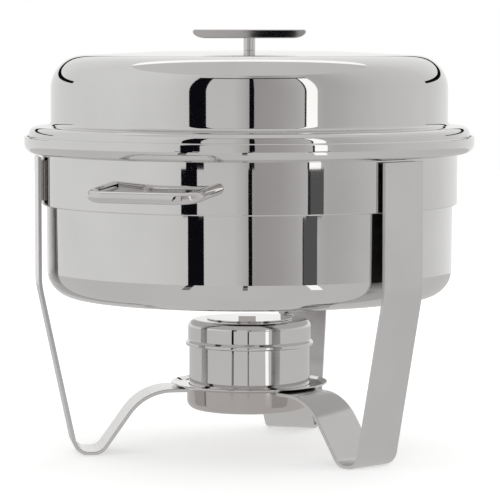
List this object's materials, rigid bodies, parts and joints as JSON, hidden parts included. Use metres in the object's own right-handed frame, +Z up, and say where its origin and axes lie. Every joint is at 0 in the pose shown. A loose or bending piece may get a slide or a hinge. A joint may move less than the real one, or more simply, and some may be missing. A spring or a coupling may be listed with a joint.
{
  "type": "roll top chafer",
  "caption": "Round polished steel chafer: a lift-off lid with a T grip, nested pans, a strap stand and a fuel holder with a swivelling snuffer.",
  "frame": {"origin": "on the floor, under the middle of the whole outline with the front handle, 14 mm in front of the axis of the round pans", "axes": "+Z up, -Y towards the front where the handle is, +X to the right seen from the front"},
  "size_m": [0.3579, 0.3866, 0.336],
  "materials": {
    "polished_steel": "mirror polished stainless steel",
    "satin_steel": "satin stainless steel, spun",
    "fixing_steel": "plain stainless steel fixings"
  },
  "bodies": {
    "stand": {"frame_band": "polished_steel", "leg_left": "polished_steel", "leg_right": "polished_steel", "leg_rear": "polished_steel", "leg_pad_left": "polished_steel", "leg_pad_right": "polished_steel", "leg_pad_rear": "polished_steel", "front_handle": "polished_steel", "burner_ring": "polished_steel", "burner_cup": "satin_steel"},
    "water_pan": {"water_pan": "polished_steel"},
    "food_pan": {"food_pan": "satin_steel"},
    "lid": {"lid_shell": "polished_steel", "lid_post": "polished_steel", "lid_t_bar": "polished_steel", "lid_screw": "fixing_steel", "lid_washer": "fixing_steel"},
    "fuel_holder": {"burner_pot": "satin_steel", "burner_cover": "polished_steel", "snuffer_rivet": "fixing_steel", "snuffer_washer": "fixing_steel"},
    "snuffer": {"snuffer_disc": "polished_steel", "snuffer_pull": "polished_steel"}
  },
  "joints": [
    {"name": "lift_water_pan", "type": "slide", "parent": "stand", "child": "water_pan", "axis": [0, 0, 1], "range_m": [0, 0.13]},
    {"name": "lift_food_pan", "type": "slide", "parent": "water_pan", "child": "food_pan", "axis": [0, 0, 1], "range_m": [0, 0.09]},
    {"name": "lift_lid", "type": "slide", "parent": "food_pan", "child": "lid", "axis": [0, 0, 1], "range_m": [0, 0.12]},
    {"name": "lift_fuel_holder", "type": "slide", "parent": "stand", "child": "fuel_holder", "axis": [0, 0, 1], "range_m": [0, 0.012]},
    {"name": "snuffer_swivel", "type": "hinge", "parent": "fuel_holder", "child": "snuffer", "pos_m": [0.03072, 0.04264, 0.1056], "axis": [0, 0, 1], "range_deg": [0, 110]}
  ]
}
